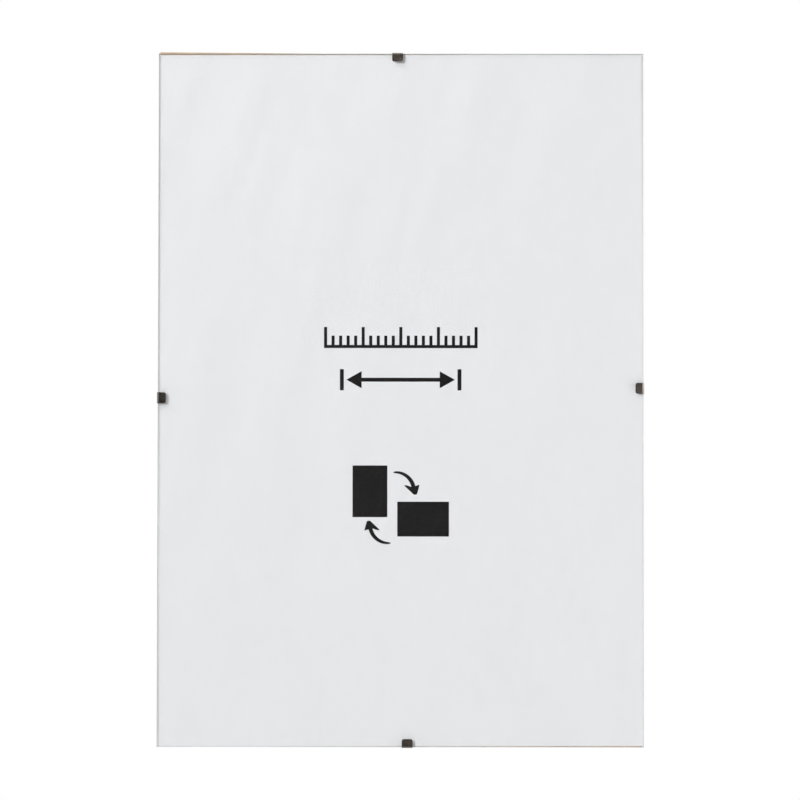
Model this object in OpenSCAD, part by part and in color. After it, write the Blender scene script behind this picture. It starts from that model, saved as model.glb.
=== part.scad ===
// Clip frame for one picture: a glass pane, a printed sheet and a backing board,
// held together by four spring clips. Each clip laps over the glass, runs round the
// edge, bows out behind the board and hooks its foot into a slot there.
// The bowed arm has a keyhole eye, so any of the four clips can hang on a nail.
// X runs to the right as the picture is seen, Y from the glass to the wall, Z up.
// The origin is the centre of the top clip's eye, on the face that meets the wall.

/* [Glass pane] */
// Width of the glass, which is the width of the picture
glass_w = 210; // [150:1:600]
// Height of the glass, which is the height of the picture
glass_h = 300; // [150:1:900]
// Thickness of the glass
glass_t = 2; // [1.6:0.1:4]
// Width of the arris ground along each edge of the glass
glass_arris = 0.3; // [0.2:0.05:0.75]

/* [Printed sheet] */
// Thickness of the sheet of paper behind the glass
sheet_t = 0.25; // [0.1:0.05:0.6]
// How far the sheet stops short of each edge of the glass
sheet_inset = 0.4; // [0.3:0.1:3]
// Turn of the sheet behind the glass in degrees, clockwise from the front
sheet_turn = -0.1; // [-0.1:0.05:0.1]

/* [Backing board] */
// Thickness of the hardboard
board_t = 3; // [2:0.1:6]
// How far the board stops short of the glass at the left and right edges
board_side_inset = 0.5; // [0.3:0.1:2]
// How far the middle of the board stops short of the glass at the top and bottom edges
board_end_inset = 0; // [0:0.1:2]
// How far the board's top edge, cut a little out of square, falls from left to right
board_fall = 1.5; // [0:0.1:3]
// Length of each slot along its edge
slot_l = 24; // [22:0.5:40]
// Width of each slot
slot_w = 3.5; // [2.5:0.1:6]

/* [Spring clip] */
// Thickness of the spring steel
clip_t = 0.3; // [0.2:0.05:0.5]
// Width of the lip on the glass, and of the web round the edge
lip_w = 4.7; // [3:0.1:7]
// How far the lip reaches over the glass
lip_reach = 3.5; // [2.5:0.1:5]
// Corner radius at the end of the lip
lip_corner_r = 0.9; // [0.3:0.1:1.4]
// Width of the bowed arm
arm_w = 12; // [11:0.5:16]
// Distance from the glass edge to where the arm reaches its full width
shoulder_from_edge = 5; // [4:0.5:6]
// Clear height of the bow, which takes a nail's head
bow_h = 2.8; // [2.2:0.1:5]
// Slope of the arm where it leaves the web, in degrees
ramp_angle = 38; // [34:1:50]
// Distance from the glass edge to where the crest of the bow ends
crest_end = 17.5; // [16:0.5:20]
// Distance from the glass edge to the foot
foot_from_edge = 28.5; // [26:0.5:40]
// Length of the flat toe that lies on the board beside the foot
toe_l = 2.2; // [1.5:0.1:3]
// Width of the toe and foot
foot_w = 8; // [6:0.5:9]
// Inner radius of the three tight bends
bend_r = 0.5; // [0.2:0.05:0.6]
// Inner radius of the three soft bends of the bow
bow_r = 2; // [1:0.1:3]

/* [Hanging eye] */
// Distance from the glass edge to the centre of the eye
eye_from_edge = 11.5; // [10.5:0.5:12.5]
// Radius of the round part, which passes a nail's head
eye_r = 2.75; // [2:0.05:3]
// Width of the keyhole's narrow part, which seats on the nail
eye_slot_w = 2.6; // [1.6:0.1:3]
// Distance from the eye's centre to the centre of the narrow part's end
eye_slot_l = 4.6; // [3:0.1:5]

/* [Clip places] */
// How far the top clip sits to the right of the middle of its edge
top_clip_shift = -1.5; // [-6:0.1:6]
// How far the bottom clip sits to the right of the middle of its edge
bottom_clip_shift = 3; // [-6:0.1:6]
// How far the left clip sits above the middle of its edge
left_clip_shift = 0.6; // [-6:0.1:6]
// How far the right clip sits above the middle of its edge
right_clip_shift = 4.9; // [-6:0.1:6]

/* [Clearances] */
// Gap between the sheet and the glass before it, and the board behind it
face_gap = 0.05; // [0.02:0.01:0.1]
// Gap between the lip and the glass
lip_gap = 0.1; // [0.05:0.05:0.3]
// Gap between the web and the edge of the glass
web_gap = 0.1; // [0.1:0.05:0.5]
// Gap between the board and the bend where the arm leaves the web
heel_gap = 0.4; // [0.3:0.05:0.8]
// Gap between the toe and the back of the board
toe_gap = 0.1; // [0.05:0.05:0.3]
// Gap between the foot and the slot wall nearer the edge
foot_play = 0.8; // [0.7:0.1:1.2]
// How far the foot stops short of the sheet
foot_tip_gap = 0.8; // [0.3:0.1:1.2]

/* [Hidden] */

$fn = 64;
arc_steps = 6;
cut_over = 1;

GLASS_COLOUR = [0.84, 0.92, 0.89, 0.35];
PAPER_COLOUR = [0.91, 0.91, 0.92];
BOARD_COLOUR = [0.52, 0.37, 0.25];
STEEL_COLOUR = [0.25, 0.23, 0.21];

// Depths behind the front face of the glass
sheet_front = glass_t + face_gap;
board_front = sheet_front + sheet_t + face_gap;
board_back = board_front + board_t;
crest_y = board_back + bow_h + clip_t / 2;
wall_y = crest_y + clip_t / 2;

sheet_w = glass_w - 2 * sheet_inset;
sheet_h = glass_h - 2 * sheet_inset;
board_w = glass_w - 2 * board_side_inset;
board_h = glass_h - 2 * board_end_inset;

slot_outer_wall = foot_from_edge - clip_t / 2 - foot_play;
slot_from_edge = slot_outer_wall + slot_w / 2;

// Middle line of the clip's steel, as [depth, distance outside the glass edge]
web_z = web_gap + clip_t / 2;
heel_y = board_back + heel_gap + clip_t / 2;
ramp_run = (crest_y - heel_y) / tan(ramp_angle);
toe_y = board_back + toe_gap + clip_t / 2;
lip_y = -(lip_gap + clip_t / 2);
clip_line = [
    [lip_y, -lip_reach],
    [lip_y, web_z],
    [heel_y, web_z],
    [crest_y, web_z - ramp_run],
    [crest_y, -crest_end],
    [toe_y, toe_l - foot_from_edge],
    [toe_y, -foot_from_edge],
    [board_front + foot_tip_gap, -foot_from_edge]
];
tight_r = bend_r + clip_t / 2;
soft_r = bow_r + clip_t / 2;
clip_bends = [0, tight_r, tight_r, soft_r, soft_r, soft_r, tight_r, 0];

// Corner radii of the arm's outline, from its neck down to its toe
neck_corner_r = 1;
shoulder_corner_r = 1.5;
taper_corner_r = 4;
toe_corner_r = 1;

function unit(v) = v / norm(v);
function reversed(list) = [for (i = [len(list) - 1 : -1 : 0]) list[i]];
function joined(lists) = [for (list = lists) each list];

// Points round the corner b between a and c, moved to the left of the line by side
function corner_arc(a, b, c, radius, side = 0) =
    let (
        way_in = unit(b - a),
        way_out = unit(c - b),
        left = cross(way_in, way_out) > 0 ? 1 : -1,
        sweep = acos(way_in * way_out),
        start = b - way_in * radius * tan(sweep / 2),
        centre = start + left * radius * [-way_in[1], way_in[0]],
        first = atan2(start[1] - centre[1], start[0] - centre[0])
    )
    [for (k = [0 : arc_steps])
        let (angle = first + left * sweep * k / arc_steps)
        centre + (radius - left * side) * [cos(angle), sin(angle)]];

// Point at the end of the line from a to b, moved to the left by side
function line_end(a, b, at, side) =
    let (way = unit(b - a))
    at + side * [-way[1], way[0]];

// One side of a bent strip
function strip_side(line, bends, side) =
    let (last = len(line) - 1)
    concat(
        [line_end(line[0], line[1], line[0], side)],
        joined([for (i = [1 : last - 1])
            corner_arc(line[i - 1], line[i], line[i + 1], bends[i], side)]),
        [line_end(line[last - 1], line[last], line[last], side)]
    );

// Closed outline of a bent strip of one thickness
function strip_outline(line, bends, thickness) = concat(
    strip_side(line, bends, thickness / 2),
    reversed(strip_side(line, bends, -thickness / 2))
);

// Closed outline with each corner rounded to its own radius, or left sharp at 0
function rounded_outline(corners, radii) =
    let (count = len(corners))
    joined([for (i = [0 : count - 1])
        radii[i] == 0
            ? [corners[i]]
            : corner_arc(
                corners[(i + count - 1) % count], corners[i],
                corners[(i + 1) % count], radii[i])]);

// Slab with its outline in the X-Z plane, from one depth to another
module upright_slab(outline, from_y, to_y) {
    translate([0, to_y, 0])
        rotate([90, 0, 0])
            linear_extrude(to_y - from_y)
                polygon(outline);
}

// Moves a piece drawn round the middle of the glass to the frame of the top eye
module from_eye() {
    translate([-top_clip_shift, -wall_y, eye_from_edge - glass_h / 2])
        children();
}

// Section of the glass across one span, with its arrises
function glass_section(span) =
    let (half = span / 2, a = glass_arris)
    [
        [-half + a, 0], [half - a, 0], [half, a], [half, glass_t - a],
        [half - a, glass_t], [-half + a, glass_t], [-half, glass_t - a], [-half, a]
    ];

module glass_pane() {
    color(GLASS_COLOUR)
        intersection() {
            linear_extrude(glass_h, center = true)
                polygon(glass_section(glass_w));
            rotate([0, 90, 0])
                linear_extrude(glass_w, center = true)
                    polygon(glass_section(glass_h));
        }
}

module printed_sheet() {
    color(PAPER_COLOUR)
        rotate([0, sheet_turn, 0])
            translate([-sheet_w / 2, sheet_front, -sheet_h / 2])
                cube([sheet_w, sheet_t, sheet_h]);
}

// Round-ended slot through the board, drawn as for the top edge
module clip_slot() {
    straight = slot_l - slot_w;
    translate([0, board_back + cut_over, -slot_from_edge])
        rotate([90, 0, 0]) {
            translate([-straight / 2, -slot_w / 2, 0])
                cube([straight, slot_w, board_t + 2 * cut_over]);
            for (end = [-1, 1])
                translate([end * straight / 2, 0, 0])
                    cylinder(h = board_t + 2 * cut_over, d = slot_w);
        }
}

// Outline of the board, whose top edge slopes
function board_outline() =
    let (side = board_w / 2, end = board_h / 2, rise = board_fall / 2)
    [[-side, -end], [side, -end], [side, end - rise], [-side, end + rise]];

module backing_board() {
    color(BOARD_COLOUR)
        difference() {
            upright_slab(board_outline(), board_front, board_back);
            for (turn = [0, 180])
                rotate([0, turn, 0])
                    translate([0, 0, glass_h / 2])
                        clip_slot();
            for (turn = [90, 270])
                rotate([0, turn, 0])
                    translate([0, 0, glass_w / 2])
                        clip_slot();
        }
}

// Outline of the lip, which the web continues past the edge
function lip_outline() =
    let (half = lip_w / 2, top = web_z + clip_t + cut_over, r = lip_corner_r)
    rounded_outline(
        [[-half, -lip_reach], [half, -lip_reach], [half, top], [-half, top]],
        [r, r, 0, 0]
    );

// Outline of the arm: a neck as wide as the lip, shoulders, then a taper to the foot
function arm_outline() =
    let (
        neck = lip_w / 2,
        arm = arm_w / 2,
        foot = foot_w / 2,
        top = web_z + clip_t + cut_over,
        toe = toe_l - foot_from_edge,
        bottom = -foot_from_edge - clip_t - cut_over,
        side_radii = [toe_corner_r, taper_corner_r, shoulder_corner_r, neck_corner_r]
    )
    rounded_outline(
        [
            [-foot, bottom], [foot, bottom], [foot, toe], [arm, -crest_end],
            [arm, -shoulder_from_edge], [neck, 0], [neck, top],
            [-neck, top], [-neck, 0], [-arm, -shoulder_from_edge],
            [-arm, -crest_end], [-foot, toe]
        ],
        concat([0, 0], side_radii, [0, 0], reversed(side_radii))
    );

// Keyhole through the crest of the bow, its narrow part towards the glass edge
module hanging_eye() {
    depth = 2 * clip_t + cut_over;
    translate([0, wall_y + cut_over, -eye_from_edge])
        rotate([90, 0, 0]) {
            cylinder(h = depth, r = eye_r);
            translate([-eye_slot_w / 2, 0, 0])
                cube([eye_slot_w, eye_slot_l, depth]);
            translate([0, eye_slot_l, 0])
                cylinder(h = depth, d = eye_slot_w);
        }
}

// Spring clip as for the top edge: Z is 0 at the glass edge, Y is 0 at its front
module spring_clip() {
    middle_y = board_back / 2;
    color(STEEL_COLOUR)
        difference() {
            intersection() {
                rotate([90, 0, 90])
                    linear_extrude(arm_w, center = true)
                        polygon(strip_outline(clip_line, clip_bends, clip_t));
                union() {
                    upright_slab(lip_outline(), lip_y - clip_t - cut_over, middle_y);
                    upright_slab(arm_outline(), middle_y, wall_y + cut_over);
                }
            }
            hanging_eye();
        }
}

// Puts a clip on the edge that lies at turn degrees from the top
module clip_on(edge, turn) {
    translate(edge)
        rotate([0, turn, 0])
            spring_clip();
}

module top_clip() {
    clip_on([top_clip_shift, 0, glass_h / 2], 0);
}

module bottom_clip() {
    clip_on([bottom_clip_shift, 0, -glass_h / 2], 180);
}

module left_clip() {
    clip_on([-glass_w / 2, 0, left_clip_shift], 270);
}

module right_clip() {
    clip_on([glass_w / 2, 0, right_clip_shift], 90);
}

from_eye() glass_pane();
from_eye() printed_sheet();
from_eye() backing_board();
from_eye() top_clip();
from_eye() bottom_clip();
from_eye() left_clip();
from_eye() right_clip();
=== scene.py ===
"""Looks of the clip frame: finishes, printed figures, camera and studio light.

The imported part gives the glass, the sheet, the board and the four clips. This script gives
each of them its finish, prints the plain black figures on the sheet, and sets up the studio.
Sizes are in metres, in the part's own frame: X to the right as the picture is seen, Y from
the glass to the wall and Z up. Only the printed figures are measured in millimetres, to the
right and up from the middle of the sheet.
"""

import logging
import math
from dataclasses import dataclass, replace
from enum import Enum
from typing import Any

import bmesh
import bpy
from mathutils import Matrix, Vector


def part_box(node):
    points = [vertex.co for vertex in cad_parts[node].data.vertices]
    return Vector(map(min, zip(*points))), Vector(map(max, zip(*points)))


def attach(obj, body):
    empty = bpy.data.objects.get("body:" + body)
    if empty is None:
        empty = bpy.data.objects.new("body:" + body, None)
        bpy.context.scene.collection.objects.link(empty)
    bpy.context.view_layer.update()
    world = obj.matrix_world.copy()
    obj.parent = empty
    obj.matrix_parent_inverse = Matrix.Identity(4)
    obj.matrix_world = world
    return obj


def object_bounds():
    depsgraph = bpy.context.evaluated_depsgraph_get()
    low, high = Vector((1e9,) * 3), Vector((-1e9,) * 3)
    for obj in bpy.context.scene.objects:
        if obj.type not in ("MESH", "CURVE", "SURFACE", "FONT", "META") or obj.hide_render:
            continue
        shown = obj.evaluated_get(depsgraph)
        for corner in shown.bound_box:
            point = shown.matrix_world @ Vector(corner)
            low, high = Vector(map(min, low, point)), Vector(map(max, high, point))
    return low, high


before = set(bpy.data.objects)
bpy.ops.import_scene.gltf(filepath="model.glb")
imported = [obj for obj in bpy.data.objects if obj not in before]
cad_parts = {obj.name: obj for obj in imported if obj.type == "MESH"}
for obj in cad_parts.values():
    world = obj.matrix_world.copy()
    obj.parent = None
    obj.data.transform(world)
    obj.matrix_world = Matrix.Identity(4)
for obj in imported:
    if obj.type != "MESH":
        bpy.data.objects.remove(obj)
cad_low, cad_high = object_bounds()

log = logging.getLogger("clip_frame")

MM = 0.001
STACK = "stack"
CORNER_STEPS = 4
WHITE = (1.0, 1.0, 1.0)

Triple = tuple[float, float, float]
Colour = Triple
Point = tuple[float, float]
Outline = list[Point]
Material = bpy.types.Material
Node = bpy.types.Node
NodeSocket = bpy.types.NodeSocket
Feed = float | Triple | NodeSocket


class SocketKind(Enum):
    """Kinds of socket that an effect group has."""

    FLOAT = "NodeSocketFloat"
    COLOUR = "NodeSocketColor"
    VECTOR = "NodeSocketVector"


class Effect(Enum):
    """Names of the shader node groups that the finishes share."""

    FINE_GRAIN = "fine_grain"
    WORN_EDGE = "worn_edge"
    HANDLING = "handling_marks"


class ShaderTree:
    """A node tree with short calls that add nodes and join them."""

    def __init__(self, tree: bpy.types.NodeTree) -> None:
        """Keep the tree that the calls work on."""
        self.tree = tree

    def add(self, kind: str, feeds: dict[str | int, Feed] | None = None, **settings: Any) -> Node:
        """Add a node, set its properties and feed its inputs.

        Args:
            kind: Blender's type name of the node, without the ShaderNode prefix.
            feeds: A constant or a socket for each named or numbered input.
            **settings: Properties of the node itself.

        Returns:
            The new node.
        """
        node = self.tree.nodes.new("ShaderNode" + kind)
        for name, value in settings.items():
            setattr(node, name, value)
        self.feed(node, feeds or {})
        return node

    def feed(self, node: Node, feeds: dict[str | int, Feed]) -> None:
        """Join sockets to a node's inputs, or set the inputs' own constants.

        Args:
            node: The node.
            feeds: Another node's output, a number, or three numbers for each input.
        """
        for name, value in feeds.items():
            socket = node.inputs[name]
            if isinstance(value, NodeSocket):
                self.tree.links.new(value, socket)
            elif isinstance(value, tuple) and socket.type == "RGBA":
                socket.default_value = (*value, 1.0)
            else:
                socket.default_value = value

    def math(self, operation: str, *values: Feed, clamp: bool = False) -> NodeSocket:
        """Work out a number.

        Args:
            operation: Blender's name of the operation.
            *values: One to three inputs.
            clamp: Whether the result stays between 0 and 1.

        Returns:
            The number.
        """
        node = self.add("Math", dict(enumerate(values)), operation=operation, use_clamp=clamp)
        return node.outputs[0]

    def vector(self, operation: str, *values: Feed) -> NodeSocket:
        """Work with vectors.

        Args:
            operation: Blender's name of the operation.
            *values: One to three inputs.

        Returns:
            A number for a distance or a dot product, and a vector for the other operations.
        """
        node = self.add("VectorMath", dict(enumerate(values)), operation=operation)
        return node.outputs["Value" if operation in ("DISTANCE", "DOT_PRODUCT") else "Vector"]

    def part(self, vector: NodeSocket, axis: str) -> NodeSocket:
        """Give the X, Y or Z part of a vector."""
        return self.add("SeparateXYZ", {0: vector}).outputs[axis]

    def noise(self, place: Feed, scale: Feed, detail: float, roughness: float = 0.5) -> NodeSocket:
        """Read a noise texture.

        Args:
            place: Where it is read.
            scale: How fine it is.
            detail: How many finer layers it has.
            roughness: Strength of each finer layer against the one before it.

        Returns:
            The noise, from 0 to 1.
        """
        feeds = {"Vector": place, "Scale": scale, "Detail": detail, "Roughness": roughness}
        return self.add("TexNoise", feeds).outputs[0]

    def ramp(
        self, value: Feed, low: float, high: float, start: float = 0.0, end: float = 1.0
    ) -> NodeSocket:
        """Turn a value into a smooth step.

        Args:
            value: The value that is mapped.
            low: Where the step starts.
            high: Where the step ends.
            start: The result below low.
            end: The result above high.

        Returns:
            The mapped value.
        """
        feeds = {"Value": value, "From Min": low, "From Max": high, "To Min": start, "To Max": end}
        return self.add("MapRange", feeds, interpolation_type="SMOOTHSTEP").outputs[0]

    def mix(self, share: Feed, first: Feed, second: Feed) -> NodeSocket:
        """Give the first colour, or the second where the share is 1."""
        return self.add("Mix", {0: share, 6: first, 7: second}, data_type="RGBA").outputs[2]

    def choose(self, share: Feed, first: Feed, second: Feed) -> NodeSocket:
        """Give the first number, or the second where the share is 1."""
        return self.add("Mix", {0: share, 2: first, 3: second}, data_type="FLOAT").outputs[0]

    def bump(
        self, height: Feed, strength: float, depth: float, under: NodeSocket | None = None
    ) -> NodeSocket:
        """Raise a relief.

        Args:
            height: The relief, from 0 to 1.
            strength: How much of it is kept.
            depth: How high it stands where the relief is 1.
            under: The normal that it stands on, where that isn't the mesh's own.

        Returns:
            The normal of the relief.
        """
        feeds = {"Strength": strength, "Distance": depth, "Height": height}
        if under is not None:
            feeds["Normal"] = under
        return self.add("Bump", feeds).outputs[0]

    def blend(self, share: Feed, first: Node, second: Node) -> Node:
        """Mix two shaders: the first, or the second where the share is 1."""
        return self.add("MixShader", {0: share, 1: first.outputs[0], 2: second.outputs[0]})


class EffectKit:
    """The shader node groups that more than one finish uses."""

    def __init__(self) -> None:
        """Build each group once."""
        self.groups: dict[Effect, bpy.types.NodeTree] = {
            Effect.FINE_GRAIN: self.fine_grain(),
            Effect.WORN_EDGE: self.worn_edge(),
            Effect.HANDLING: self.handling_marks(),
        }

    def place(self, effect: Effect, shader: ShaderTree, feeds: dict[str | int, Feed]) -> Node:
        """Put an effect in a material, with the material's own values."""
        return shader.add("Group", feeds, node_tree=self.groups[effect])

    @staticmethod
    def start(
        effect: Effect, inputs: dict[str, tuple[SocketKind, Feed]], outputs: dict[str, SocketKind]
    ) -> tuple[ShaderTree, Node, Node]:
        """Make an empty group with its sockets.

        Args:
            effect: Which effect the group is.
            inputs: Kind and default of each input.
            outputs: Kind of each output.

        Returns:
            The group's tree, its input node and its output node.
        """
        tree = bpy.data.node_groups.new(effect.value, "ShaderNodeTree")
        for name, (kind, default) in inputs.items():
            socket = tree.interface.new_socket(name=name, in_out="INPUT", socket_type=kind.value)
            socket.default_value = (*default, 1.0) if kind is SocketKind.COLOUR else default
        for name, kind in outputs.items():
            tree.interface.new_socket(name=name, in_out="OUTPUT", socket_type=kind.value)
        entry = tree.nodes.new("NodeGroupInput")
        result = tree.nodes.new("NodeGroupOutput")
        return ShaderTree(tree), entry, result

    def fine_grain(self) -> bpy.types.NodeTree:
        """Build the grain that tints and roughens fibre, paper, ink and steel.

        Returns:
            The group, with a colour between two tones and a height.
        """
        shader, entry, result = self.start(
            Effect.FINE_GRAIN,
            {
                "Place": (SocketKind.VECTOR, (0.0, 0.0, 0.0)),
                "Stretch": (SocketKind.VECTOR, (1.0, 1.0, 1.0)),
                "Scale": (SocketKind.FLOAT, 500.0),
                "Dark Tone": (SocketKind.COLOUR, (0.2, 0.2, 0.2)),
                "Pale Tone": (SocketKind.COLOUR, (0.8, 0.8, 0.8)),
                "Contrast": (SocketKind.FLOAT, 0.5),
            },
            {"Colour": SocketKind.COLOUR, "Height": SocketKind.FLOAT},
        )
        broad_pitch = 0.13
        broad_share = 0.5
        full_swing = 4.0
        placed = shader.vector("MULTIPLY", entry.outputs["Place"], entry.outputs["Stretch"])
        fine = shader.noise(placed, entry.outputs["Scale"], 4.0, 0.6)
        broad_scale = shader.math("MULTIPLY", entry.outputs["Scale"], broad_pitch)
        broad = shader.math("MULTIPLY", shader.noise(placed, broad_scale, 2.0), broad_share)
        centred = shader.math("SUBTRACT", shader.math("ADD", fine, broad), (1.0 + broad_share) / 2)
        contrast = shader.math("MULTIPLY", entry.outputs["Contrast"], full_swing)
        swing = shader.math("MULTIPLY", centred, contrast)
        share = shader.math("ADD", swing, 0.5, clamp=True)
        tone = shader.mix(share, entry.outputs["Dark Tone"], entry.outputs["Pale Tone"])
        shader.feed(result, {"Colour": tone, "Height": fine})
        return shader.tree

    def worn_edge(self) -> bpy.types.NodeTree:
        """Build the mask that follows the sharp edges of a piece, broken up by noise.

        Returns:
            The group, with the mask.
        """
        shader, entry, result = self.start(
            Effect.WORN_EDGE,
            {
                "Place": (SocketKind.VECTOR, (0.0, 0.0, 0.0)),
                "Reach": (SocketKind.FLOAT, 0.2 * MM),
                "Break-up": (SocketKind.FLOAT, 900.0),
                "Amount": (SocketKind.FLOAT, 0.6),
            },
            {"Mask": SocketKind.FLOAT},
        )
        turned_from, turned_full = 0.01, 0.16
        patch_from, patch_full = 0.38, 0.62
        rounded = shader.add("Bevel", {"Radius": entry.outputs["Reach"]}, samples=6).outputs[0]
        flat = shader.add("NewGeometry").outputs["Normal"]
        turned = shader.math("SUBTRACT", 1.0, shader.vector("DOT_PRODUCT", rounded, flat))
        edge = shader.ramp(turned, turned_from, turned_full)
        noise = shader.noise(entry.outputs["Place"], entry.outputs["Break-up"], 3.0)
        worn = shader.math("MULTIPLY", edge, shader.ramp(noise, patch_from, patch_full))
        mask = shader.math("MULTIPLY", worn, entry.outputs["Amount"], clamp=True)
        shader.feed(result, {"Mask": mask})
        return shader.tree

    def handling_marks(self) -> bpy.types.NodeTree:
        """Build the faint smudges and fine scratches that hands leave on glass and steel.

        Returns:
            The group, with a roughness between two limits and a height.
        """
        shader, entry, result = self.start(
            Effect.HANDLING,
            {
                "Place": (SocketKind.VECTOR, (0.0, 0.0, 0.0)),
                "Patch Scale": (SocketKind.FLOAT, 20.0),
                "Scratch Scale": (SocketKind.FLOAT, 60.0),
                "Smooth": (SocketKind.FLOAT, 0.0),
                "Rough": (SocketKind.FLOAT, 0.1),
            },
            {"Roughness": SocketKind.FLOAT, "Height": SocketKind.FLOAT},
        )
        smudge_from, smudge_full = 0.45, 0.75
        scratch_from, scratch_full = 0.62, 0.72
        scratch_stretch = (1.0, 9.0, 14.0)
        scratch_share = 0.6
        patch = shader.noise(entry.outputs["Place"], entry.outputs["Patch Scale"], 3.0)
        smudge = shader.ramp(patch, smudge_from, smudge_full)
        drawn = shader.vector("MULTIPLY", entry.outputs["Place"], scratch_stretch)
        hair = shader.noise(drawn, entry.outputs["Scratch Scale"], 5.0, 0.7)
        scratch = shader.ramp(hair, scratch_from, scratch_full)
        marks = shader.math("MAXIMUM", smudge, shader.math("MULTIPLY", scratch, scratch_share))
        span = shader.math("SUBTRACT", entry.outputs["Rough"], entry.outputs["Smooth"])
        rough = shader.math("MULTIPLY_ADD", marks, span, entry.outputs["Smooth"])
        shader.feed(result, {"Roughness": rough, "Height": scratch})
        return shader.tree


@dataclass(frozen=True)
class Grain:
    """The fine grain as one finish has it: its pitch, its contrast and how it is drawn out."""

    scale: float
    contrast: float
    stretch: Triple = (1.0, 1.0, 1.0)

    def lay(self, kit: EffectKit, shader: ShaderTree, place: NodeSocket, dark: Feed, pale: Feed) -> Node:
        """Lay the grain on a material.

        Args:
            kit: The shared effects.
            shader: The material's tree.
            place: Place on the piece.
            dark: The darker tone.
            pale: The paler tone.

        Returns:
            The effect, with its colour and height.
        """
        feeds = {
            "Place": place,
            "Stretch": self.stretch,
            "Scale": self.scale,
            "Dark Tone": dark,
            "Pale Tone": pale,
            "Contrast": self.contrast,
        }
        return kit.place(Effect.FINE_GRAIN, shader, feeds)


@dataclass(frozen=True)
class EdgeWear:
    """Wear along the sharp edges as one finish has it: its width, its pitch and its amount."""

    reach: float
    scale: float
    amount: float

    def lay(self, kit: EffectKit, shader: ShaderTree, place: NodeSocket) -> NodeSocket:
        """Lay the wear on a material and give its mask."""
        feeds = {"Place": place, "Reach": self.reach, "Break-up": self.scale, "Amount": self.amount}
        return kit.place(Effect.WORN_EDGE, shader, feeds).outputs["Mask"]


@dataclass(frozen=True)
class HandMarks:
    """Smudges and scratches as one finish has them: their pitches and limits of roughness."""

    patch_scale: float
    scratch_scale: float
    smooth: float
    rough: float

    def lay(self, kit: EffectKit, shader: ShaderTree, place: NodeSocket) -> Node:
        """Lay the marks on a material.

        Args:
            kit: The shared effects.
            shader: The material's tree.
            place: Place on the piece.

        Returns:
            The effect, with its roughness and height.
        """
        feeds = {
            "Place": place,
            "Patch Scale": self.patch_scale,
            "Scratch Scale": self.scratch_scale,
            "Smooth": self.smooth,
            "Rough": self.rough,
        }
        return kit.place(Effect.HANDLING, shader, feeds)


def new_material(name: str) -> tuple[Material, ShaderTree, Node, Node]:
    """Make a material that holds only its output and a principled shader.

    Args:
        name: The material's name.

    Returns:
        The material, its tree, the principled shader and the output.
    """
    material = bpy.data.materials.new(name)
    material.use_nodes = True
    material.node_tree.nodes.clear()
    shader = ShaderTree(material.node_tree)
    principled = shader.add("BsdfPrincipled")
    output = shader.add("OutputMaterial", {"Surface": principled.outputs[0]})
    return material, shader, principled, output


def object_place(shader: ShaderTree) -> NodeSocket:
    """Give the place on the piece in its own frame, in metres."""
    return shader.add("TexCoord").outputs["Object"]


def depth_facing(shader: ShaderTree) -> NodeSocket:
    """Give which way a face of the stack looks, from -1 for the viewer to 1 for the wall."""
    return shader.part(shader.add("NewGeometry").outputs["True Normal"], "Y")


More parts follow.
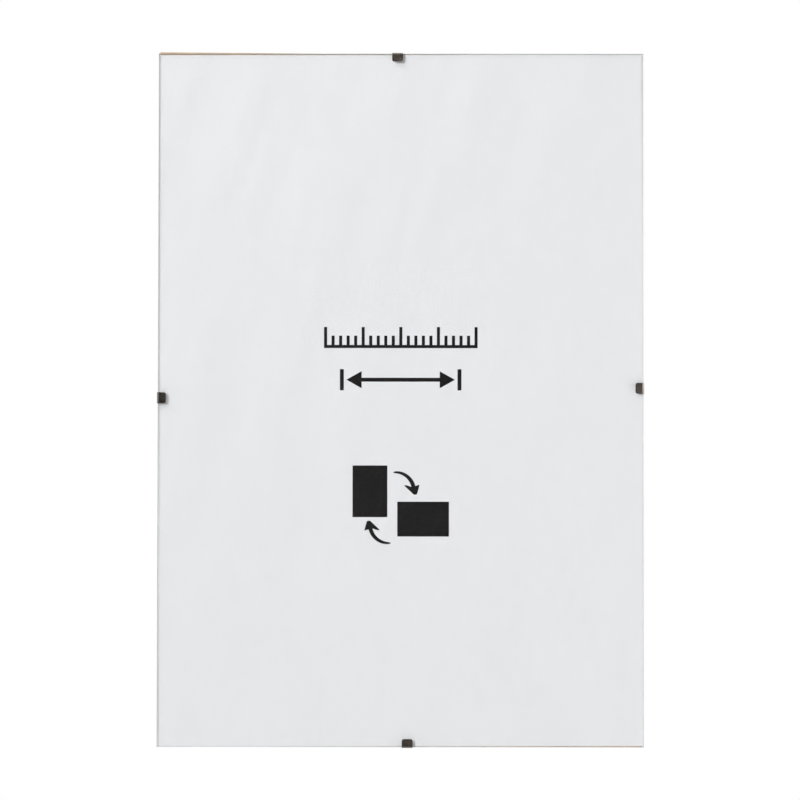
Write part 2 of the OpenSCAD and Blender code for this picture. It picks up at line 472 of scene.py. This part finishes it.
@dataclass(frozen=True)
class ClearGlass:
    """Polished float glass with a ground grey-green edge; its top arris is darkened with painted shade.
    """

    body_tint: Colour = (0.988, 0.994, 0.99)
    arris_tint: Colour = (0.8, 0.82, 0.81)
    # painted shade: a darker tint on the arris within the top band stands in for the shade along the
    # pane's top edge
    painted_shade_top_arris_tint: Colour = (0.58, 0.59, 0.58)
    painted_shade_band: float = 1.0 * MM
    edge_tint: Colour = (0.72, 0.82, 0.77)
    ground_tone: Colour = (0.38, 0.45, 0.415)
    arris_ground: float = 0.2
    edge_ground: float = 0.5
    arris_roughness: float = 0.28
    edge_roughness: float = 0.42
    refraction: float = 1.5
    # Facing along the frame's depth: above the first a face is polished, below the second it is edge
    flat_from: float = 0.95
    edge_below: float = 0.3
    # What the polished faces and the ground edge let through to the sheet
    face_passes: Colour = (0.965, 0.968, 0.966)
    edge_passes: Colour = (0.3, 0.32, 0.31)
    marks: HandMarks = HandMarks(patch_scale=22.0, scratch_scale=35.0, smooth=0.0, rough=0.012)
    pit_scale: float = 2600.0
    pit_depth: float = 0.08 * MM
    pit_strength: float = 0.35

    def build(self, kit: EffectKit) -> Material:
        """Make the material.

        Args:
            kit: The shared effects.

        Returns:
            The material.
        """
        material, shader, glass, output = new_material("clear_glass")
        place = object_place(shader)
        facing = shader.math("ABSOLUTE", depth_facing(shader))
        is_flat = shader.math("GREATER_THAN", facing, self.flat_from)
        is_edge = shader.math("LESS_THAN", facing, self.edge_below)
        is_cut = shader.math("SUBTRACT", 1.0, is_flat)
        polish = self.marks.lay(kit, shader, place).outputs["Roughness"]
        cut_roughness = shader.choose(is_edge, self.arris_roughness, self.edge_roughness)
        pits = shader.math("MULTIPLY", shader.noise(place, self.pit_scale, 3.0), is_cut)
        shader.feed(
            glass,
            {
                "Base Color": self.tint(shader, place, is_flat, is_edge),
                "Roughness": shader.choose(is_flat, cut_roughness, polish),
                "IOR": self.refraction,
                "Transmission Weight": 1.0,
                "Normal": shader.bump(pits, self.pit_strength, self.pit_depth),
            },
        )
        ground = shader.choose(is_edge, self.arris_ground, self.edge_ground)
        frost = shader.add("BsdfDiffuse", {"Color": self.ground_tone})
        surface = shader.blend(shader.math("MULTIPLY", ground, is_cut), glass, frost)
        self.pass_light(shader, surface, output, is_edge)
        return material

    def tint(
        self, shader: ShaderTree, place: NodeSocket, is_flat: NodeSocket, is_edge: NodeSocket
    ) -> NodeSocket:
        """Tint the polished faces, the arrises and the edge, with painted shade darkening the arris along
        the top.

        Args:
            shader: The material's tree.
            place: Place on the pane.
            is_flat: 1 on the polished faces and 0 elsewhere.
            is_edge: 1 on the ground edge and 0 elsewhere.

        Returns:
            The tint.
        """
        # painted shade on the top arris: the band where the darker tint is mixed into the arris tint
        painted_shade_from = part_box("glass_pane")[1].z - self.painted_shade_band
        in_painted_shade = shader.math("GREATER_THAN", shader.part(place, "Z"), painted_shade_from)
        arris_tint = shader.mix(in_painted_shade, self.arris_tint, self.painted_shade_top_arris_tint)
        cut_tint = shader.mix(is_edge, arris_tint, self.edge_tint)
        return shader.mix(is_flat, cut_tint, self.body_tint)

    def pass_light(self, shader: ShaderTree, surface: Node, output: Node, is_edge: NodeSocket) -> None:
        """Let lamp light and bounced light reach the sheet, and dim it at the ground edge.

        Args:
            shader: The material's tree.
            surface: The shader of the glass and its ground edge.
            output: The material's output.
            is_edge: 1 on the ground edge and 0 elsewhere.
        """
        ray = shader.add("LightPath").outputs
        straight = shader.math("MAXIMUM", ray["Is Shadow Ray"], ray["Is Diffuse Ray"])
        lamp_tint = shader.mix(is_edge, self.face_passes, self.edge_passes)
        tint = shader.mix(ray["Is Shadow Ray"], WHITE, lamp_tint)
        clear = shader.add("BsdfTransparent", {"Color": tint})
        shader.feed(output, {"Surface": shader.blend(straight, surface, clear).outputs[0]})


@dataclass(frozen=True)
class InsertPaper:
    """Smooth white insert paper with a faint fibre grain, a little wavy at its upper left."""

    dark_tone: Colour = (0.785, 0.786, 0.811)
    pale_tone: Colour = (0.83, 0.829, 0.853)
    grain: Grain = Grain(scale=420.0, contrast=0.35, stretch=(1.0, 1.0, 0.45))
    roughness: float = 0.62
    relief_depth: float = 0.04 * MM
    relief_strength: float = 0.12
    # The waves: how high and fine they are, how they lean and where they calm down
    wave_depth: float = 2.5 * MM
    wave_scale: float = 42.0
    wave_lean: float = -16.0
    wave_stretch: Triple = (1.0, 1.0, 0.2)
    wave_reach: float = 0.27
    calm: float = 0.3

    def build(self, kit: EffectKit) -> Material:
        """Make the material.

        Args:
            kit: The shared effects.

        Returns:
            The material.
        """
        material, shader, paper, _ = new_material("white_paper")
        place = object_place(shader)
        grain = self.grain.lay(kit, shader, place, self.dark_tone, self.pale_tone).outputs
        waves = shader.bump(self.waves(shader, place), 1.0, self.wave_depth)
        shader.feed(
            paper,
            {
                "Base Color": grain["Colour"],
                "Roughness": self.roughness,
                "Normal": shader.bump(grain["Height"], self.relief_strength, self.relief_depth, waves),
            },
        )
        return material

    def waves(self, shader: ShaderTree, place: NodeSocket) -> NodeSocket:
        """Give the height of the soft waves in which the sheet lies behind the glass.

        Args:
            shader: The material's tree.
            place: Place on the sheet.

        Returns:
            The height, which fades away from the upper left corner.
        """
        low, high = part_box("printed_sheet")
        lean = {"Vector": place, "Angle": math.radians(self.wave_lean)}
        leaning = shader.add("VectorRotate", lean, rotation_type="Y_AXIS").outputs[0]
        drawn = shader.vector("MULTIPLY", leaning, self.wave_stretch)
        swell = shader.noise(drawn, self.wave_scale, 2.0, 0.45)
        away = shader.vector("DISTANCE", place, (low.x, low.y, high.z))
        share = shader.ramp(away, 0.0, self.wave_reach, 1.0, self.calm)
        return shader.math("MULTIPLY", swell, share)


@dataclass(frozen=True)
class Hardboard:
    """Pressed brown wood fibre: smooth faces, the front one paler, and fuzzy cut edges."""

    face_dark: Colour = (0.2, 0.105, 0.052)
    face_pale: Colour = (0.33, 0.19, 0.1)
    front_dark: Colour = (0.42, 0.25, 0.12)
    front_pale: Colour = (0.62, 0.4, 0.2)
    edge_dark: Colour = (0.34, 0.195, 0.1)
    edge_pale: Colour = (0.55, 0.345, 0.185)
    fleck: Colour = (0.5, 0.34, 0.2)
    char: Colour = (0.075, 0.04, 0.022)
    face_grain: Grain = Grain(scale=620.0, contrast=0.5)
    edge_grain: Grain = Grain(scale=900.0, contrast=0.8, stretch=(1.0, 4.0, 1.0))
    wear: EdgeWear = EdgeWear(reach=0.6 * MM, scale=700.0, amount=0.7)
    cut_below: float = 0.7
    face_roughness: float = 0.48
    edge_roughness: float = 0.85
    face_relief: float = 0.04 * MM
    edge_relief: float = 0.3 * MM
    relief_strength: float = 0.8
    fibre_scale: float = 1900.0
    fibre_from: float = 0.62
    fibre_full: float = 0.7
    bend_scale: float = 160.0
    bend: float = 0.012

    def build(self, kit: EffectKit) -> Material:
        """Make the material.

        Args:
            kit: The shared effects.

        Returns:
            The material.
        """
        material, shader, board, _ = new_material("brown_hardboard")
        place = object_place(shader)
        facing = depth_facing(shader)
        is_cut = shader.math("LESS_THAN", shader.math("ABSOLUTE", facing), self.cut_below)
        is_front = shader.math("LESS_THAN", facing, -self.cut_below)
        dark = shader.mix(is_front, self.face_dark, self.front_dark)
        pale = shader.mix(is_front, self.face_pale, self.front_pale)
        face = self.face_grain.lay(kit, shader, place, dark, pale).outputs
        edge = self.edge_grain.lay(kit, shader, place, self.edge_dark, self.edge_pale).outputs
        flecked = self.fibres(shader, place, face["Colour"])
        worn = shader.mix(self.wear.lay(kit, shader, place), flecked, self.edge_pale)
        height = shader.choose(is_cut, face["Height"], edge["Height"])
        depth = shader.choose(is_cut, self.face_relief, self.edge_relief)
        relief = shader.math("MULTIPLY", height, depth)
        shader.feed(
            board,
            {
                "Base Color": shader.mix(is_cut, worn, edge["Colour"]),
                "Roughness": shader.choose(is_cut, self.face_roughness, self.edge_roughness),
                "Normal": shader.bump(relief, self.relief_strength, 1.0),
            },
        )
        return material

    def fibres(self, shader: ShaderTree, place: NodeSocket, under: NodeSocket) -> NodeSocket:
        """Lay pale and charred fibres on the pressed face, lying both ways.

        Args:
            shader: The material's tree.
            place: Place on the board.
            under: Colour of the face under the fibres.

        Returns:
            The colour with its fibres.
        """
        noise = shader.add("TexNoise", {"Vector": place, "Scale": self.bend_scale, "Detail": 2.0})
        bent = shader.vector("MULTIPLY_ADD", noise.outputs["Color"], (self.bend,) * 3, place)
        colour = under
        # How each layer of fibres is drawn out, its tone and its cover
        for stretch, tone, share in (
            ((1.0, 1.0, 0.16), self.fleck, 0.42),
            ((0.16, 1.0, 1.0), self.fleck, 0.34),
            ((0.7, 1.0, 0.3), self.char, 0.5),
        ):
            strands = shader.noise(shader.vector("MULTIPLY", bent, stretch), self.fibre_scale, 2.0)
            mask = shader.ramp(strands, self.fibre_from, self.fibre_full, 0.0, share)
            colour = shader.mix(mask, colour, tone)
        return colour


@dataclass(frozen=True)
class SpringSteel:
    """Dark bronzed spring steel, paler along its edges from wear and painted highlights, with a painted
    highlight on its front bend.
    """

    name: str = "dark_spring_steel"
    dark_tone: Colour = (0.05, 0.0385, 0.0315)
    pale_tone: Colour = (0.112, 0.089, 0.074)
    # edge tone: real wear, and painted highlights along the sharp edges
    worn_and_sheen_tone: Colour = (0.3, 0.235, 0.18)
    # painted highlight: a pale metallic tone on the front bend stands in for the bend's reflection
    painted_highlight_tone: Colour = (0.9, 0.87, 0.8)
    grain: Grain = Grain(scale=950.0, contrast=0.75)
    wear: EdgeWear = EdgeWear(reach=0.12 * MM, scale=1100.0, amount=0.55)
    marks: HandMarks = HandMarks(patch_scale=190.0, scratch_scale=260.0, smooth=0.2, rough=0.32)
    metallic: float = 0.35
    highlight_metallic: float = 0.75
    highlight_roughness: float = 0.34
    relief_depth: float = 0.02 * MM
    relief_strength: float = 0.25
    # The painted highlight on the bend: how strong it is, how far it reaches in from the pane's
    # outline, and where it fades towards the wall
    painted_bend_highlight: float = 0.22
    highlight_width: float = 0.4 * MM
    highlight_blend: float = 0.4 * MM
    fade_from: float = 0.3 * MM
    fade_to: float = 1.5 * MM
    highlight_rest: float = 0.1
    patch_scale: float = 700.0
    patch_from: float = 0.25
    patch_full: float = 0.5
    patch_low: float = 0.45

    def build(self, kit: EffectKit) -> Material:
        """Make the material.

        Args:
            kit: The shared effects.

        Returns:
            The material.
        """
        material, shader, steel, _ = new_material(self.name)
        place = object_place(shader)
        grain = self.grain.lay(kit, shader, place, self.dark_tone, self.pale_tone).outputs
        marks = self.marks.lay(kit, shader, place).outputs
        # the paler edge tone is partly wear and partly painted highlight
        bronzed = shader.mix(self.wear.lay(kit, shader, place), grain["Colour"], self.worn_and_sheen_tone)
        # painted highlight along the front bend, mixed into the colour, metallic and roughness
        highlight = self.bend_highlight_mask(shader, place)
        relief = shader.math("SUBTRACT", grain["Height"], marks["Height"])
        shader.feed(
            steel,
            {
                "Base Color": shader.mix(highlight, bronzed, self.painted_highlight_tone),
                "Metallic": shader.choose(highlight, self.metallic, self.highlight_metallic),
                "Roughness": shader.choose(highlight, marks["Roughness"], self.highlight_roughness),
                "Normal": shader.bump(relief, self.relief_strength, self.relief_depth),
            },
        )
        return material

    def bend_highlight_mask(self, shader: ShaderTree, place: NodeSocket) -> NodeSocket:
        """Give the mask of the painted highlight on the bend from the lip to the web.

        Args:
            shader: The material's tree.
            place: Place on the clip.

        Returns:
            The mask.
        """
        low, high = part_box("glass_pane")
        middle = (low + high) / 2
        reach = shader.vector("ABSOLUTE", shader.vector("SUBTRACT", place, tuple(middle)))
        past_side = shader.math("SUBTRACT", shader.part(reach, "X"), high.x - middle.x)
        past_end = shader.math("SUBTRACT", shader.part(reach, "Z"), high.z - middle.z)
        past = shader.math("MAXIMUM", past_side, past_end)
        outside = shader.ramp(past, -self.highlight_width, self.highlight_blend - self.highlight_width)
        depth = shader.part(place, "Y")
        before = shader.ramp(depth, low.y + self.fade_from, low.y + self.fade_to, 1.0, self.highlight_rest)
        noise = shader.noise(place, self.patch_scale, 3.0)
        patches = shader.ramp(noise, self.patch_from, self.patch_full, self.patch_low, 1.0)
        highlit = shader.math("MULTIPLY", shader.math("MULTIPLY", outside, before), patches)
        return shader.math("MULTIPLY", highlit, self.painted_bend_highlight, clamp=True)


@dataclass(frozen=True)
class BlackInk:
    """Flat black printing ink, a little uneven in its cover."""

    dark_tone: Colour = (0.0085, 0.0077, 0.008)
    pale_tone: Colour = (0.0145, 0.0133, 0.0137)
    grain: Grain = Grain(scale=600.0, contrast=0.6)
    roughness: float = 0.6
    specular: float = 0.06

    def build(self, kit: EffectKit) -> Material:
        """Make the material.

        Args:
            kit: The shared effects.

        Returns:
            The material.
        """
        material, shader, ink, _ = new_material("black_ink")
        cover = self.grain.lay(kit, shader, object_place(shader), self.dark_tone, self.pale_tone)
        shader.feed(
            ink,
            {
                "Base Color": cover.outputs["Colour"],
                "Roughness": self.roughness,
                "Specular IOR Level": self.specular,
            },
        )
        return material


@dataclass(frozen=True)
class PaleFloor:
    """Pale matt floor that looks white and still keeps shadows."""

    tone: Colour = (0.8, 0.8, 0.8)
    roughness: float = 0.9
    glow: float = 0.5

    def build(self) -> Material:
        """Make the material.

        Returns:
            The material, clear from below and in mirrored light.
        """
        material, shader, floor, output = new_material("pale_floor")
        ray = shader.add("LightPath").outputs
        shader.feed(
            floor,
            {
                "Base Color": self.tone,
                "Roughness": self.roughness,
                "Emission Color": WHITE,
                "Emission Strength": shader.math("MULTIPLY", ray["Is Camera Ray"], self.glow),
            },
        )
        below = shader.add("NewGeometry").outputs["Backfacing"]
        unseen = shader.math("MAXIMUM", below, ray["Is Glossy Ray"])
        clear = shader.add("BsdfTransparent", {"Color": WHITE})
        shader.feed(output, {"Surface": shader.blend(unseen, floor, clear).outputs[0]})
        return material


@dataclass
class FrameStack:
    """The carried-over pieces and the finish that each of them has."""

    glass: ClearGlass
    paper: InsertPaper
    board: Hardboard
    clips: dict[str, SpringSteel]

    def dress(self, kit: EffectKit) -> None:
        """Give every carried-over piece its material.

        Args:
            kit: The shared effects.
        """
        finishes = {
            "glass_pane": self.glass,
            "printed_sheet": self.paper,
            "backing_board": self.board,
            **self.clips,
        }
        for name, finish in finishes.items():
            material = finish.build(kit)
            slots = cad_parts[name].data.materials
            slots.clear()
            slots.append(material)
            log.info("dressed %s in %s", name, material.name)


def arc(centre: Point, radius: float, first: float, last: float, steps: int = CORNER_STEPS) -> Outline:
    """Give points along a round stretch.

    Args:
        centre: Centre of the circle.
        radius: Its radius.
        first: Angle of the first point, in degrees from the right, anticlockwise.
        last: Angle of the last point.
        steps: Number of straight pieces.

    Returns:
        The points, first to last.
    """
    angles = [math.radians(first + (last - first) * k / steps) for k in range(steps + 1)]
    return [(centre[0] + radius * math.cos(a), centre[1] + radius * math.sin(a)) for a in angles]


def soft_bar(low: Point, size: Point, radius: float) -> Outline:
    """Outline an upright rectangle with rounded corners.

    Args:
        low: Its left bottom corner.
        size: Its width and height.
        radius: Radius of the corners.

    Returns:
        The outline, anticlockwise.
    """
    left, bottom = low[0] + radius, low[1] + radius
    right, top = low[0] + size[0] - radius, low[1] + size[1] - radius
    corners = ((right, bottom, -90), (right, top, 0), (left, top, 90), (left, bottom, 180))
    return [point for x, y, turn in corners for point in arc((x, y), radius, turn, turn + 90)]


def mesh_object(name: str, mesh: bmesh.types.BMesh, material: Material) -> bpy.types.Object:
    """Turn a finished mesh into an object of the scene.

    Args:
        name: The object's name.
        mesh: The mesh, which is used up.
        material: Its finish.

    Returns:
        The object.
    """
    data = bpy.data.meshes.new(name)
    mesh.to_mesh(data)
    mesh.free()
    data.materials.append(material)
    made = bpy.data.objects.new(name, data)
    bpy.context.scene.collection.objects.link(made)
    return made


@dataclass
class InkPress:
    """Prints flat figures on the front of the sheet, as thin closed films sunk in a little."""

    ink: Material
    film: float = 0.02
    sunk: float = 0.01

    def __post_init__(self) -> None:
        """Find the middle of the sheet's front face."""
        low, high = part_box("printed_sheet")
        self.middle = Vector(((low.x + high.x) / 2, low.y, (low.z + high.z) / 2))

    def film_piece(self, name: str, outlines: list[Outline]) -> bpy.types.Object:
        """Print outlines as one piece.

        Args:
            name: The piece's name.
            outlines: Closed outlines that don't touch.

        Returns:
            The piece, riding with the stack.
        """
        mesh = bmesh.new()
        for outline in outlines:
            back = [self.at(mesh, point, self.sunk) for point in outline]
            front = [self.at(mesh, point, -self.film) for point in outline]
            mesh.faces.new(front)
            mesh.faces.new(back[::-1])
            for k in range(len(outline)):
                following = (k + 1) % len(outline)
                mesh.faces.new((front[following], front[k], back[k], back[following]))
        bmesh.ops.recalc_face_normals(mesh, faces=mesh.faces[:])
        piece = mesh_object(name, mesh, self.ink)
        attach(piece, STACK)
        log.info("printed %s with %d outlines", name, len(outlines))
        return piece

    def at(self, mesh: bmesh.types.BMesh, point: Point, depth: float) -> bmesh.types.BMVert:
        """Add a corner of the film.

        Args:
            mesh: The mesh being made.
            point: Place on the sheet.
            depth: Depth behind the sheet's front face.

        Returns:
            The new corner.
        """
        offset = Vector((point[0], depth, point[1])) * MM
        return mesh.verts.new(self.middle + offset)


@dataclass
class OrientationFigure:
    """The common upright-or-lengthwise sign: two solid cards and two round arrows."""

    upright_low: Point = (-20.75, -50.9)
    upright_size: Point = (15.05, 22.35)
    lengthwise_low: Point = (-1.4, -59.25)
    card_corner: float = 0.15
    turn_about: Point = (-3.7, -46.8)
    bow_centre: Point = (-2.15, -39.4)
    bow_radius: float = 7.9
    bow_from: float = 97.0
    bow_to: float = 9.0
    bow_steps: int = 18
    tail_width: float = 0.3
    neck_width: float = 1.85
    swelling: float = 0.4
    outer_notch: Point = (6.3, -37.45)
    barb_shoulder: Point = (3.0, -37.2)
    inner_notch: Point = (4.6, -37.8)

    def print_on(self, press: InkPress) -> None:
        """Print the cards and arrows.

        Args:
            press: The press that makes the ink.
        """
        upright = soft_bar(self.upright_low, self.upright_size, self.card_corner)
        lengthwise = soft_bar(self.lengthwise_low, self.upright_size[::-1], self.card_corner)
        press.film_piece("printed_cards", [upright, lengthwise])
        over = self.arrow()
        under = [(2 * self.turn_about[0] - x, 2 * self.turn_about[1] - y) for x, y in over]
        press.film_piece("printed_arrows", [over, under])

    def arrow(self) -> Outline:
        """Outline the upper arrow, from its thin tail round its blunt head and back.

        Returns:
            The outline.
        """
        return self.shaft_side(0.5) + self.head() + self.shaft_side(-0.5)[::-1]

    def shaft_side(self, side: float) -> Outline:
        """Give one side of the arrow's shaft, which swells from the tail to the neck.

        Args:
            side: 0.5 for the outer side and -0.5 for the inner side.

        Returns:
            The points, from the tail to just before the neck.
        """
        points: Outline = []
        for k in range(self.bow_steps):
            share = k / self.bow_steps
            angle = math.radians(self.bow_from + (self.bow_to - self.bow_from) * share)
            width = self.tail_width + (self.neck_width - self.tail_width) * share ** self.swelling
            reach = self.bow_radius + side * width
            across, up = reach * math.cos(angle), reach * math.sin(angle)
            points.append((self.bow_centre[0] + across, self.bow_centre[1] + up))
        return points

    def head(self) -> Outline:
        """Outline the arrow's head, from the neck's outer side to its inner side.

        Returns:
            The points: the outer barb, the blunt tip's two corners and the inner barb.
        """
        # Centre, radius, first and last angle of each rounded corner
        corners = (
            ((7.95, -37.15), 0.22, 120, -15),
            ((6.75, -40.65), 0.45, -15, -80),
            ((5.95, -40.75), 0.45, -90, -140),
            ((1.95, -37.25), 0.25, -140, -250),
        )
        rounded = [point for corner in corners for point in arc(*corner)]
        return [self.outer_notch, *rounded, self.barb_shoulder, self.inner_notch]


@dataclass
class SizeMarks:
    """Plain ruled scale and double arrow, where an insert shows its size."""

    scale_low: Point = (-33.2, 22.25)
    scale_size: Point = (66.5, 9.15)
    spaces: int = 20
    tall_every: int = 5
    short_height: float = 5.4
    stroke: float = 1.35
    tick_steps: int = 3
    span_middle: Point = (0.0, 8.55)
    span_size: Point = (52.6, 9.2)
    span_stroke: float = 1.7
    span_gap: float = 1.1
    head_length: float = 6.6
    head_half: float = 3.7
    corner: float = 0.2

    def print_on(self, press: InkPress) -> None:
        """Print the scale and the arrow.

        Args:
            press: The press that makes the ink.
        """
        press.film_piece("printed_scale", [self.scale()])
        press.film_piece("printed_span", [self.stop(-1), self.arrow(), self.stop(1)])

    def scale(self) -> Outline:
        """Outline the comb of a ruled scale, its base line below.

        Returns:
            The outline.
        """
        left, bottom = self.scale_low
        width, height = self.scale_size
        half = self.stroke / 2
        pitch = (width - self.stroke) / self.spaces
        base = bottom + self.stroke
        comb: Outline = [(left, bottom), (left + width, bottom)]
        for k in range(self.spaces, -1, -1):
            middle = left + half + k * pitch
            top = bottom + (self.short_height if k % self.tall_every else height)
            right_end = (middle + half - self.corner, top - self.corner)
            left_end = (middle - half + self.corner, top - self.corner)
            if k < self.spaces:
                comb.append((middle + half, base))
            comb += arc(right_end, self.corner, 0, 90, self.tick_steps)
            comb += arc(left_end, self.corner, 90, 180, self.tick_steps)
            if k > 0:
                comb.append((middle - half, base))
        return comb

    def stop(self, side: int) -> Outline:
        """Outline the stop at one end of the double arrow.

        Args:
            side: -1 for the left end and 1 for the right end.

        Returns:
            The outline.
        """
        width, height = self.span_size
        middle = self.span_middle[0] + side * (width - self.span_stroke) / 2
        low = (middle - self.span_stroke / 2, self.span_middle[1] - height / 2)
        return soft_bar(low, (self.span_stroke, height), self.corner)

    def arrow(self) -> Outline:
        """Outline the double arrow between the stops.

        Returns:
            The outline.
        """
        x, y = self.span_middle
        tip = self.span_size[0] / 2 - self.span_stroke - self.span_gap
        neck = tip - self.head_length
        half = self.span_stroke / 2
        right = [(neck, -half), (neck, -self.head_half), (tip, 0.0), (neck, self.head_half), (neck, half)]
        left = [(-u, -v) for u, v in right]
        return [(x + u, y + v) for u, v in right + left]


@dataclass(frozen=True)
class SoftBox:
    """A round soft box, its way given from the object's middle and its power in watts."""

    name: str
    toward: Triple
    distance: float
    size: float
    power: float
    mirrored: bool = True

    def hang(self, aim: Vector) -> None:
        """Hang the lamp so that it looks at the object.

        Args:
            aim: The point it looks at.
        """
        data = bpy.data.lights.new(self.name, "AREA")
        data.shape = "DISK"
        data.size = self.size
        data.energy = self.power
        lamp = bpy.data.objects.new(self.name, data)
        way = Vector(self.toward).normalized()
        lamp.location = aim + way * self.distance
        lamp.rotation_mode = "QUATERNION"
        lamp.rotation_quaternion = way.to_track_quat("Z", "Y")
        lamp.visible_glossy = self.mirrored
        lamp.visible_transmission = self.mirrored
        bpy.context.scene.collection.objects.link(lamp)


@dataclass
class Studio:
    """White background, a key from the upper left, two small fills, a rear lamp and a floor."""

    ambient: float = 0.225
    front_dark: float = 0.04
    darkest_below: float = -0.97
    white_above: float = -0.3
    boxes: tuple[SoftBox, ...] = (
        SoftBox("key_light", (-0.405, -0.885, 0.215), distance=13.0, size=2.2, power=860.0),
        SoftBox("left_fill", (-0.479, -0.7, 0.779), distance=1.064, size=0.8, power=3.7, mirrored=False),
        SoftBox("right_fill", (1.232, -0.7, -0.189), distance=0.716, size=0.7, power=0.9, mirrored=False),
        SoftBox("rear_light", (0.4, 0.62, 0.68), distance=12.0, size=6.0, power=930.0),
    )
    floor_drop: float = 0.4
    floor_radius: float = 2.5
    floor_sides: int = 96

    def build(self) -> None:
        """Set up the world, the lamps and the floor."""
        middle = (cad_low + cad_high) / 2
        self.world()
        for box in self.boxes:
            box.hang(middle)
        self.floor(middle, cad_low.z - self.floor_drop)
        log.info("set up the studio with %d lamps", len(self.boxes))

    def world(self) -> None:
        """Make the world: white to the eye, dimmer as light, with a dark room behind the camera."""
        world = bpy.data.worlds.new("studio")
        bpy.context.scene.world = world
        world.use_nodes = True
        world.node_tree.nodes.clear()
        shader = ShaderTree(world.node_tree)
        ray = shader.add("LightPath").outputs
        depth = shader.part(shader.add("TexCoord").outputs["Generated"], "Y")
        room = shader.ramp(depth, self.darkest_below, self.white_above, self.front_dark, 1.0)
        mirrored = shader.math("MAXIMUM", ray["Is Glossy Ray"], ray["Is Transmission Ray"])
        strength = shader.choose(mirrored, self.ambient, room)
        strength = shader.choose(ray["Is Camera Ray"], strength, 1.0)
        background = shader.add("Background", {"Color": WHITE, "Strength": strength})
        shader.add("OutputWorld", {"Surface": background.outputs[0]})

    def floor(self, middle: Vector, height: float) -> bpy.types.Object:
        """Lay a round pale floor below the hung frame, seen only from above and not mirrored.

        Args:
            middle: The object's middle.
            height: Height of the floor.

        Returns:
            The floor.
        """
        mesh = bmesh.new()
        bmesh.ops.create_circle(mesh, cap_ends=True, segments=self.floor_sides, radius=self.floor_radius)
        bmesh.ops.translate(mesh, verts=mesh.verts[:], vec=(middle.x, middle.y, height))
        floor = mesh_object("floor", mesh, PaleFloor().build())
        return floor


@dataclass
class PhotoCamera:
    """The photograph's viewpoint, fitted to the four corners of the glass, angles in degrees."""

    lens: float = 166.52
    sensor: float = 36.0
    distance: float = 1.6
    azimuth: float = 0.108
    elevation: float = -1.851
    roll: float = 0.071
    aim_right: float = -0.27 * MM
    aim_back: float = 0.3 * MM
    aim_up: float = -0.26 * MM
    sees_to: float = 50.0

    def build(self) -> bpy.types.Object:
        """Make the camera.

        Returns:
            The camera.
        """
        low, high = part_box("glass_pane")
        front = Vector(((low.x + high.x) / 2, low.y, (low.z + high.z) / 2))
        aim = front + Vector((self.aim_right, self.aim_back, self.aim_up))
        turn, lift = math.radians(self.azimuth), math.radians(self.elevation)
        back = Vector((math.sin(turn) * math.cos(lift), -math.cos(turn) * math.cos(lift), math.sin(lift)))
        level = back.to_track_quat("Z", "Y").to_matrix().to_4x4()
        rolled = level @ Matrix.Rotation(math.radians(self.roll), 4, "Z")
        data = bpy.data.cameras.new("photo_camera")
        data.lens = self.lens
        data.sensor_width = self.sensor
        data.clip_end = self.sees_to
        camera = bpy.data.objects.new("photo_camera", data)
        camera.matrix_world = Matrix.Translation(aim + back * self.distance) @ rolled
        bpy.context.scene.collection.objects.link(camera)
        bpy.context.scene.camera = camera
        return camera


def clip_steels() -> dict[str, SpringSteel]:
    """Give each clip its steel: lighter and darker copies of one steel as painted light and shade, and a
    painted highlight on the right one's bend.

    Returns:
        The steel of each clip, by the clip's name.
    """
    bronzed = SpringSteel()
    # painted shade: the left clip's steel is darker
    shaded = replace(
        bronzed,
        name="shaded_spring_steel",
        dark_tone=(0.0175, 0.014, 0.0128),
        pale_tone=(0.042, 0.034, 0.0308),
    )
    # painted shade: the bottom clip's steel is a little darker
    half_shaded = replace(
        bronzed,
        name="half_shaded_spring_steel",
        dark_tone=(0.041, 0.0325, 0.028),
        pale_tone=(0.093, 0.0765, 0.067),
    )
    # painted highlight: the right clip's steel is paler, with a strong painted highlight on its bend
    highlit = replace(
        bronzed,
        name="highlit_spring_steel",
        dark_tone=(0.06, 0.0485, 0.0415),
        pale_tone=(0.13, 0.108, 0.0935),
        painted_bend_highlight=0.8,
        highlight_width=0.7 * MM,
    )
    return {"top_clip": bronzed, "right_clip": highlit, "bottom_clip": half_shaded, "left_clip": shaded}


def main() -> None:
    """Dress the frame, print the sheet and set up the studio."""
    logging.basicConfig(level=logging.INFO, format="%(name)s: %(message)s")
    bpy.context.scene.view_settings.view_transform = "Standard"
    kit = EffectKit()
    PhotoCamera().build()
    FrameStack(ClearGlass(), InsertPaper(), Hardboard(), clip_steels()).dress(kit)
    press = InkPress(BlackInk().build(kit))
    OrientationFigure().print_on(press)
    SizeMarks().print_on(press)
    Studio().build()


if __name__ == "__main__":
    main()
